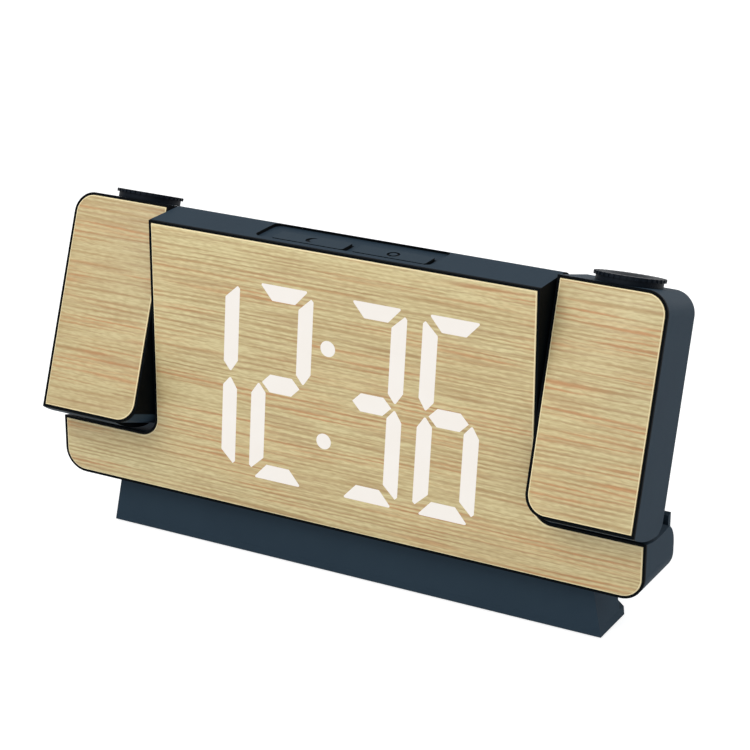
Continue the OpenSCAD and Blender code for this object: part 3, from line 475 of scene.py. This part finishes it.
def solder_mask(name):
    """Fibreglass board: glossy green solder mask, with the copper tracks under it as raised,
    paler lines."""
    material, tree = blank(name)
    upright = add(tree, "Mapping", {"Vector": add(tree, "TexCoord").outputs["Object"],
                                    "Rotation": (math.pi / 2, 0, 0),
                                    "Scale": stretch(1, 1)})
    tracks = add(tree, "TexBrick", {
        "Vector": upright.outputs[0], "Scale": 1.0,
        "Color1": linear("#1f5a3a"), "Color2": linear("#1b5234"),
        "Mortar": linear("#2f7a4e"), "Mortar Size": 0.12, "Brick Width": 7.0,
        "Row Height": 1.6}, offset=0.5)
    bump = add(tree, "Bump", {"Height": tracks.outputs[1], "Distance": 0.03 * MM,
                              "Strength": 0.6})
    shader = add(tree, "BsdfPrincipled", {"Base Color": tracks.outputs[0], "Roughness": 0.3,
                                          "IOR": 1.5, "Normal": bump.outputs[0]})
    add(tree, "OutputMaterial", {"Surface": shader.outputs[0]})
    return material


def plated(name, colour, roughness, length):
    """Plated or rolled metal: drawing lines, drawn coarse enough to show, spread its gloss
    across them. length is theirs in mm."""
    material, tree = blank(name)
    drawn = add(tree, "Mapping", {"Vector": add(tree, "TexCoord").outputs["Object"],
                                  "Scale": stretch(length, 0.15)})
    lines = add(tree, "TexNoise", {"Vector": drawn.outputs[0], "Scale": 1.0, "Detail": 2.0})
    rough = add(tree, "MapRange", {0: lines.outputs[0], 3: roughness - 0.08,
                                   4: roughness + 0.1})
    bump = add(tree, "Bump", {"Height": lines.outputs[0], "Distance": 0.004 * MM,
                              "Strength": 0.4})
    shader = add(tree, "BsdfPrincipled", {
        "Base Color": linear(colour), "Metallic": 1.0, "Roughness": rough.outputs[0],
        "Normal": bump.outputs[0]})
    add(tree, "OutputMaterial", {"Surface": shader.outputs[0]})
    return material


def optical_acrylic(name):
    """A moulded clear lens, polished, with the faintest haze in its roughness."""
    material, tree = blank(name)
    haze = add(tree, "TexNoise", {"Vector": add(tree, "TexCoord").outputs["Object"],
                                  "Scale": per_metre(2)})
    rough = add(tree, "MapRange", {0: haze.outputs[0], 3: 0.02, 4: 0.06})
    shader = add(tree, "BsdfPrincipled", {
        "Base Color": linear("#e6eef1"), "Roughness": rough.outputs[0], "IOR": 1.49,
        "Transmission Weight": 1.0})
    add(tree, "OutputMaterial", {"Surface": shader.outputs[0]})
    return material


def film_slide(name):
    """The image slide: glossy film, finely dotted dark on grey."""
    material, tree = blank(name)
    dots = add(tree, "TexVoronoi", {"Vector": add(tree, "TexCoord").outputs["Object"],
                                    "Scale": per_metre(0.8)})
    tint = add(tree, "Mix", {0: dots.outputs[0], 6: linear("#20252b"),
                             7: linear("#5a6068")}, data_type="RGBA")
    shader = add(tree, "BsdfPrincipled", {"Base Color": tint.outputs[2], "Roughness": 0.25,
                                          "IOR": 1.5})
    add(tree, "OutputMaterial", {"Surface": shader.outputs[0]})
    return material


def silicone_mat(name):
    """Silicone rubber, moulded with a tread of fine slanting ribs, dull and near black."""
    material, tree = blank(name)
    spot = add(tree, "TexCoord").outputs["Object"]
    tread = add(tree, "TexWave", {"Vector": spot, "Scale": per_band(TREAD_PITCH)},
                bands_direction="DIAGONAL")
    grain = add(tree, "TexNoise", {"Vector": spot, "Scale": per_metre(0.5)})
    tint = add(tree, "Mix", {0: grain.outputs[0], 6: linear("#101316"),
                             7: linear("#1a1e22")}, data_type="RGBA")
    bump = add(tree, "Bump", {"Height": tread.outputs[1], "Distance": 0.15 * MM,
                              "Strength": 0.5})
    shader = add(tree, "BsdfPrincipled", {"Base Color": tint.outputs[2], "Roughness": 0.8,
                                          "IOR": 1.43, "Normal": bump.outputs[0]})
    add(tree, "OutputMaterial", {"Surface": shader.outputs[0]})
    return material


# ABS of the body, moulded in a grained tool: dark blue-grey and almost without gloss
SHELL = moulded("satin_moulded_abs", "#2a3843", "#26333e", grain=0.35, depth=0.02,
                roughness=0.55, gloss=0.03)
# The same plastic, nearly black: painted shade on the rims and the walls inside the gaps, and the
# dark of the buttons' marks
PAINTED_SHADE_AND_MARKS = moulded("painted_shade_and_marks_abs", "#04070a", "#030609", grain=0.3, depth=0.005,
               roughness=0.6, gloss=0.03)
# ABS of the top buttons, from a finer tool, so a little smoother than the body
BUTTON = moulded("satin_abs_buttons", "#2a3843", "#27343e", grain=0.3, depth=0.015,
                 roughness=0.52, gloss=0.03)
# ABS of the rear keys: black, with a soft sheen
KEY = moulded("matt_black_abs_keys", "#14181c", "#101417", grain=0.3, depth=0.02,
              roughness=0.5)
# Nylon of the focus knobs: near black, with just enough gloss to show the ribs
KNOB = moulded("black_nylon_knob", "#0c131b", "#090f16", grain=0.3, depth=0.015,
               roughness=0.5, gloss=0.06)
# Nylon of the shafts, tubes and housings inside, left coarse and black from the tool
INNER = moulded("black_nylon_inside", "#1b1b1d", "#151517", grain=0.5, depth=0.02,
                roughness=0.5)
# ABS of the reflector: smooth and bright white
WHITE = moulded("white_abs_reflector", "#f1f1ec", "#e9e9e3", grain=0.5, depth=0.01,
                roughness=0.35)
# Epoxy of the chips, and the black of the buzzer, cell holder and sensor: dull
CHIP = moulded("epoxy_chip_packages", "#1b1b1d", "#232326", grain=0.2, depth=0.01,
               roughness=0.55)
# Silicone with phosphor over the lamp chips: pale yellow and smooth
LED = moulded("yellow_phosphor_lamps", "#f7e9b0", "#efdc96", grain=0.4, depth=0.01,
              roughness=0.35)
# Bamboo under matt lacquer, each plate cut from another place in the sheet. The arms' plates are a
# little darker than the face, as painted shade against the stronger light that falls on them
WOOD = {
    "face": bamboo_veneer("bamboo_veneer_face", "#cbbe8f", "#bfac7e", (0, 0, 0)),
    "left": bamboo_veneer("bamboo_veneer_left_painted_shade", "#c1b386", "#b7a478", (90, 0, 140)),
    "right": bamboo_veneer("bamboo_veneer_right_painted_shade", "#c6b98b", "#bca97b", (-60, 0, 260)),
}
# The plates' cut edges: plain, and paler than their faces, as a painted highlight
WOOD_EDGE_HIGHLIGHT = moulded("bamboo_edge_painted_highlight", "#eadbb0", "#e0ce9e", grain=0.6, depth=0.01,
                    roughness=0.55)
LIT = lit_acrylic("lit_opal_acrylic")
BOARD = solder_mask("green_solder_mask")
STEEL = plated("zinc_plated_steel", "#b9bcc0", roughness=0.32, length=4.0)
BRASS = plated("rolled_brass", "#c9a860", roughness=0.3, length=6.0)
GLASS = optical_acrylic("optical_acrylic")
SLIDE = film_slide("film_slide")
RUBBER = silicone_mat("silicone_rubber_mat")


# ---------------------------------------------------------------- body shells


def body_front():
    """The front shell: its rim, the walls beside the arms and the button pocket's walls are
    painted near black as shade.
    """
    rim_back = FRONT + RIM_DEPTH
    shell = split_at(copy_of("front_shell", "body_front"), BACK * rim_back, BACK)
    soften(shell, SHELL_EDGE)

    # Faces painted near black as shade: the rim, the walls beside the arms and the pocket's walls
    def dark(face):
        spot = face.center
        on_rim = spot.y < rim_back
        by_arm = (abs(abs(spot.x) - BLOCK_HALF) < SHELL_EDGE and abs(face.normal.x) > MOSTLY
                  and LEDGE_TOP < spot.z < BODY_TOP - SHELL_EDGE)
        in_pocket = (BODY_TOP - POCKET_DEPTH < spot.z < BODY_TOP - NEAR / 2
                     and abs(face.normal.z) < WALL and abs(spot.x) < POCKET_REACH
                     and spot.y < POCKET_BACK)
        return on_rim or by_arm or in_pocket

    paint(shell, SHELL)
    # Painted shade on the rim and on the walls in the gaps
    paint(shell, PAINTED_SHADE_AND_MARKS, dark)
    register(shell, "clock_body", "shell", "front_shell")


def body_back():
    """The rear cover. Its rounded edge leaves a fine groove at the front shell."""
    cover = soften(copy_of("rear_cover", "body_back"), COVER_EDGE)
    paint(cover, SHELL)
    register(cover, "clock_body", "shell", "rear_cover")


# ---------------------------------------------------------------- display


def lit_segments():
    """The lit segments and the colon: first their points are rounded, then their corners."""
    lenses = copy_of("digit_lenses", "lit_segments")
    bevel_edges(lenses, lambda e: runs_along(e, BACK) and is_sharp(e, degrees=100),
                SEGMENT_POINT, segments=4)
    bevel_edges(lenses, lambda e: runs_along(e, BACK) and is_sharp(e, degrees=36),
                SEGMENT_CORNER, segments=2)
    shade(lenses)
    paint(lenses, LIT)
    register(lenses, "clock_body", "lit", "digit_lenses")
    return lenses


def on_highlight_edge(face, facing, front):
    """Whether a face belongs to the cut edge round a plate, which is painted pale as a highlight.
    """
    least, most = SLOPING
    return least < face.normal.dot(facing) < most and face.center.dot(facing) > front


def face_plate(lenses):
    """The T-shaped veneered plate, with an opening for every lit segment."""
    side = BLOCK_HALF - RIM
    ledge = LEDGE_TOP - RIM
    plate = block("face_plate", plate_low, (plate_high.x, plate_high.y, ledge))
    for x in (-side, side):
        split_at(plate, (x, 0, 0), (1, 0, 0))
    pick(plate, "FACE", lambda f: f.normal.z > FACING and abs(f.calc_center_median().x) < side)
    extrude(UP * (plate_high.z - ledge))
    bpy.ops.mesh.select_all(action="SELECT")
    bpy.ops.mesh.dissolve_limited(angle_limit=FLAT)
    done()

    def at_bottom(edge):
        spot = middle(edge)
        return runs_along(edge, BACK) and abs(spot.x) > side + NEAR and spot.z < plate_low.z + NEAR

    def in_notch(edge):
        spot = middle(edge)
        return (runs_along(edge, BACK) and abs(abs(spot.x) - side) < NEAR
                and abs(spot.z - ledge) < NEAR)

    bevel_edges(plate, at_bottom, CORNER_R - RIM, CORNER_STEPS)
    bevel_edges(plate, in_notch, NOTCH_R + RIM, CORNER_STEPS)
    bevel_edges(plate, lambda e: is_sharp(e) and middle(e).y < plate_low.y + NEAR,
                PLATE_EDGE, segments=2)

    # The segments themselves, moved forward and made four times as deep, cut the openings
    to_front = Matrix.Translation(BACK * plate_low.y)
    deeper = to_front @ Matrix.Diagonal((1, 4, 1, 1)) @ to_front.inverted()
    cutter = copied(lenses, "segment_cutter", deeper @ Matrix.Translation(-BACK * MM))
    combine(plate, [cutter], "DIFFERENCE")
    shade(plate)
    paint(plate, WOOD["face"])
    # The cut edge round the plate is painted pale as a highlight
    paint(plate, WOOD_EDGE_HIGHLIGHT, lambda face: on_highlight_edge(face, -BACK, -plate_low.y - PLATE_EDGE))
    register(plate, "clock_body", "wood", "face_panel")


# ---------------------------------------------------------------- arms


def arm_case(side):
    """An arm's shell: its rim and its wall beside the block are painted near black as shade."""
    facing, front = arm_front(side)
    rim_back = front - RIM_DEPTH
    inward = -OUTWARD[side]
    case = split_at(copy_of(f"{side}_arm_shell", f"{side}_arm_case"), facing * rim_back, facing)
    soften(case, SHELL_EDGE)

    # Faces painted near black as shade: the rim and the wall that faces the block
    def dark(face):
        return face.center.dot(facing) > rim_back or face.normal.x * inward > FACING

    paint(case, SHELL)
    paint(case, PAINTED_SHADE_AND_MARKS, dark)
    register(case, f"{side}_arm", "shell", f"{side}_arm_shell")


def arm_back(side):
    """An arm's rear cover."""
    back = soften(copy_of(f"{side}_arm_cover", f"{side}_arm_back"), COVER_EDGE)
    paint(back, SHELL)
    register(back, f"{side}_arm", "shell", f"{side}_arm_cover")


def arm_plate(side):
    """An arm's veneered plate, round at its outer top and its inner bottom corner."""
    turn = arm_frame(side)
    facing, front = arm_front(side)
    low, high = box_in(f"{side}_arm_panel", turn)
    outer, inner = (high.x, low.x) if side == "right" else (low.x, high.x)
    plate = block(f"{side}_arm_plate", low, high)

    def at_round_corner(edge):
        spot = middle(edge)
        return runs_along(edge, BACK) and abs(spot.x - (outer if spot.z > 0 else inner)) < NEAR

    bevel_edges(plate, at_round_corner, ARM_CORNER_R - RIM, CORNER_STEPS)
    bevel_edges(plate, lambda e: is_sharp(e) and middle(e).y < low.y + NEAR,
                PLATE_EDGE, segments=2)
    plate.data.transform(turn)
    shade(plate)
    paint(plate, WOOD[side])
    # The cut edge round the plate is painted pale as a highlight
    paint(plate, WOOD_EDGE_HIGHLIGHT, lambda face: on_highlight_edge(face, facing, front))
    register(plate, f"{side}_arm", "wood", f"{side}_arm_panel")


def focus_knob(side):
    """A focus knob: a plain skirt under a ribbed grip, with a dished bore for the light."""
    turn = arm_frame(side)
    low, high = box_in(f"{side}_focus_ring", turn)
    centre = (low + high) / 2
    grip_r = (high.x - low.x) / 2 - RIB_DEPTH
    skirt_r = (high.x - low.x) / 2 - SKIRT_IN
    ledge = high.z - GRIP_BAND
    flats = FLATS_PER_RIB * RIBS

    def at(z):
        """The point on the knob's axis at this height."""
        return Vector((centre.x, centre.y, z))

    def on_rib(face):
        spot = face.calc_center_median()
        flat = math.atan2(spot.y - centre.y, spot.x - centre.x) / (2 * math.pi) * flats
        return (abs(face.normal.z) < WALL and spot.z > ledge
                and flat % FLATS_PER_RIB < FLATS_PER_RIB / 2)

    knob = rod(f"{side}_focus_knob", skirt_r, at(low.z - KNOB_DROP), at(ledge), sides=flats)
    pick(knob, "FACE", lambda face: face.normal.z > FACING)
    extrude((0, 0, 0))
    bpy.ops.transform.resize(value=(grip_r / skirt_r,) * 2 + (1,), center_override=at(ledge))
    extrude(UP * GRIP_BAND)
    done()
    pick(knob, "FACE", on_rib)
    bpy.ops.mesh.extrude_region_shrink_fatten(
        TRANSFORM_OT_shrink_fatten={"value": RIB_DEPTH})
    done()

    bore = rod("bore", KNOB_BORE_R, at(low.z - MM), at(high.z + MM))
    seat = rod("seat", TUBE_R, at(low.z - MM), at(low.z + TUBE_REACH))
    dish = rod("dish", KNOB_BORE_R, at(high.z - DISH_DEPTH), at(high.z + DISH_DEPTH),
               end_radius=KNOB_BORE_R + 2 * DISH_REACH)
    combine(knob, [bore, seat, dish], "DIFFERENCE")
    soften(knob, KNOB_EDGE)
    knob.data.transform(turn)
    paint(knob, KNOB)
    register(knob, f"{side}_focus_ring", "trim", f"{side}_focus_ring")


# ---------------------------------------------------------------- buttons and keys


def top_buttons():
    """The two top buttons: their sides painted dark as shade, and dark marks cut into their tops.
    """
    for node in ("snooze_button", "projection_button"):
        cap = soften(copy_of(node, node + "_cap"), BUTTON_EDGE)
        paint(cap, BUTTON)
        # Painted shade on the cap's sides; the same dark colours the marks in its top
        paint(cap, PAINTED_SHADE_AND_MARKS, lambda face: face.center.z < BUTTON_DARK)
        register(cap, node, "button", node)


def rear_keys():
    """The five black keys on the back."""
    for name in ("set", "up", "down", "alarm", "dimmer"):
        cap = soften(copy_of(f"{name}_key", f"{name}_key_cap"), KEY_EDGE)
        paint(cap, KEY)
        register(cap, f"{name}_key", "key", f"{name}_key")


# ---------------------------------------------------------------- base


def base_pieces():
    """The plinth, its bottom plate, the battery door and the foot mat."""
    for node, edge in (("base_plinth", PLINTH_EDGE), ("base_plate", BASE_PLATE_EDGE),
                       ("battery_door", DOOR_EDGE)):
        piece = soften(copy_of(node, node + "_moulding"), edge)
        paint(piece, SHELL)
        register(piece, "clock_body", "shell", node)
    mat = soften(copy_of("foot_mat", "foot_mat_pad"), MAT_EDGE)
    paint(mat, RUBBER)
    register(mat, "clock_body", "rubber", "foot_mat")


# ---------------------------------------------------------------- screws


def cross_head_screw(length):
    """A pan-head screw along +Z, its head's underside at the origin."""
    shank = rod("screw", SCREW_R, (0, 0, -SCREW_OVERLAP), (0, 0, length), sides=24)
    head = rod("head", SCREW_HEAD_R, (0, 0, -SCREW_HEAD_H), (0, 0, 0), sides=40)
    bevel_edges(head, lambda e: is_sharp(e) and middle(e).z < -SCREW_HEAD_H / 2,
                SCREW_HEAD_ROUND, segments=4)
    slots = []
    for along_x, along_y in ((CROSS_LENGTH, CROSS_WIDTH), (CROSS_WIDTH, CROSS_LENGTH)):
        slots.append(block("slot", (-along_x / 2, -along_y / 2, -SCREW_HEAD_H - MM),
                           (along_x / 2, along_y / 2, -SCREW_HEAD_H + CROSS_DEPTH)))
    combine(head, slots, "DIFFERENCE")
    combine(shank, [head], "UNION")
    return shade(shank)


def short_screw_aim(low, high):
    """A short screw points up, or else along Y, the battery door's from the back."""
    if high.z - low.z > high.y - low.y:
        return UP
    return -BACK if high.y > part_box("battery_door")[1].y else BACK


def screws(node, body, turn, aim_of):
    """Cross-head screws in place of a CAD node's screws, whose boxes tell where they point."""
    made = []
    for low, high in solids_in(node, turn):
        direction = aim_of(low, high)
        aim = direction.to_track_quat("Z", "X").to_matrix().to_4x4()
        whole = abs((high - low).dot(direction))
        under_head = (low + high) / 2 - direction * (whole / 2 - SCREW_HEAD_H)
        screw = cross_head_screw(whole - SCREW_HEAD_H)
        screw.data.transform(turn @ Matrix.Translation(under_head) @ aim)
        made.append(screw)
    group = joined(node + "_crossed", made)
    paint(group, STEEL)
    register(group, body, "steel", node)


# ---------------------------------------------------------------- inside


def inside():
    """The finishes of the CAD nodes that keep their own shape, most of them inside."""
    body_finishes = {
        WHITE: ["light_reflector"],
        BOARD: ["display_board", "main_board", "button_board"],
        LED: ["display_leds"],
        CHIP: ["board_chips", "buzzer", "cell_holder", "temperature_sensor"],
        STEEL: ["tact_switches", "coin_cell", "power_socket"],
    }
    arm_finishes = {
        INNER: ["pivot_shaft", "lens_tube", "lens_barrel", "lamp_housing"],
        BRASS: ["friction_washer"],
        STEEL: ["retaining_clip"],
        GLASS: ["projection_lens", "condenser_lens"],
        SLIDE: ["image_slide"],
        BOARD: ["lamp_board"],
    }
    for prefix, finishes in (("", body_finishes), ("left_", arm_finishes),
                             ("right_", arm_finishes)):
        for material, parts in finishes.items():
            for part in parts:
                slots = frame["nodes"][prefix + part].data.materials
                slots.clear()
                slots.append(material)


# ---------------------------------------------------------------- studio


def background_ray(tree):
    """One for a ray that shows the background itself, seen straight or in gloss or glass."""
    path = add(tree, "LightPath")
    mirrored = add(tree, "Math", {0: path.outputs["Is Glossy Ray"],
                                  1: path.outputs["Is Transmission Ray"]}, operation="MAXIMUM")
    return add(tree, "Math", {0: path.outputs["Is Camera Ray"], 1: mirrored.outputs[0]},
               operation="MAXIMUM").outputs[0]


def white_floor():
    """A white floor that keeps the clock's shadow. Where it is seen, most of its white is its
    own and the lamps give the rest. What it throws back at the clock comes from the lamps."""
    own_white = 0.78
    seen_grey, lighting_grey = 0.45, 0.85
    bpy.ops.mesh.primitive_plane_add(size=12)
    floor = settle(bpy.context.object, "floor")
    material, tree = blank("white_sweep")
    seen = background_ray(tree)
    lift = add(tree, "Math", {0: seen, 1: own_white}, operation="MULTIPLY")
    tone = add(tree, "Mix", {0: seen, 6: (lighting_grey,) * 3 + (1,),
                             7: (seen_grey,) * 3 + (1,)}, data_type="RGBA")
    shader = add(tree, "BsdfPrincipled", {
        "Base Color": tone.outputs[2], "Roughness": 0.9, "Specular IOR Level": 0.0,
        "Emission Color": (1, 1, 1, 1), "Emission Strength": lift.outputs[0]})
    add(tree, "OutputMaterial", {"Surface": shader.outputs[0]})
    floor.data.materials.append(material)


def white_world():
    """A world that looks white, but lights the clock with a weaker and cooler sky."""
    world = bpy.data.worlds.new("studio")
    bpy.context.scene.world = world
    world.use_nodes = True
    tree = world.node_tree
    tree.nodes.clear()
    sky = add(tree, "Background", {"Color": (0.93, 0.96, 1.0, 1), "Strength": 0.46})
    white = add(tree, "Background", {"Color": (1, 1, 1, 1), "Strength": 1.0})
    mixed = add(tree, "MixShader", {0: background_ray(tree), 1: sky.outputs[0],
                                    2: white.outputs[0]})
    add(tree, "OutputWorld", {"Surface": mixed.outputs[0]})


def soft_lamps():
    """Three square lamps, aimed at the clock. Each has its place, size and watts."""
    aim = Vector((0, -0.01, 0.05))
    for name, spot, size, watts in (("key", (-0.3, -0.75, 1.0), 0.8, 10.0),
                                    ("fill", (0.3, -1.0, 0.14), 0.7, 2.3),
                                    ("back", (0.55, 0.95, 0.5), 0.9, 7.0)):
        lamp = bpy.data.lights.new(name, "AREA")
        lamp.size = size
        lamp.energy = watts
        light = bpy.data.objects.new(name, lamp)
        light.location = spot
        light.rotation_euler = (Vector(spot) - aim).to_track_quat("Z", "Y").to_euler()
        bpy.context.scene.collection.objects.link(light)


def front_camera():
    """The camera, above the clock's right front, with a long lens."""
    place = (0.3211, -0.5812, 0.3001 + BODY_BOTTOM)
    azimuth, elevation, roll = (math.radians(a) for a in (28.637, 20.221, 0.185))
    camera = bpy.data.objects.new("camera", bpy.data.cameras.new("camera"))
    bpy.context.scene.collection.objects.link(camera)
    bpy.context.scene.camera = camera
    camera.data.sensor_width = 36
    camera.data.lens = 112.31
    camera.data.shift_x = -0.0133
    camera.data.shift_y = -0.0523
    camera.matrix_world = (
        Matrix.Translation(place) @ Matrix.Rotation(azimuth, 4, "Z")
        @ Matrix.Rotation(math.pi / 2 - elevation, 4, "X") @ Matrix.Rotation(roll, 4, "Z"))


bpy.ops.object.select_all(action="DESELECT")
body_front()
body_back()
face_plate(lit_segments())
for side in SIDES:
    arm_case(side)
    arm_back(side)
    arm_plate(side)
    focus_knob(side)
top_buttons()
rear_keys()
base_pieces()
upright = Matrix.Identity(4)
screws("shell_screws", "clock_body", upright, lambda low, high: -BACK)
screws("base_screws", "clock_body", upright, lambda low, high: UP)
screws("short_screws", "clock_body", upright, short_screw_aim)
for side in SIDES:
    screws(f"{side}_arm_screws", f"{side}_arm", arm_frame(side), lambda low, high: -BACK)
inside()
bpy.context.scene.view_settings.view_transform = "Standard"
white_floor()
white_world()
soft_lamps()
front_camera()
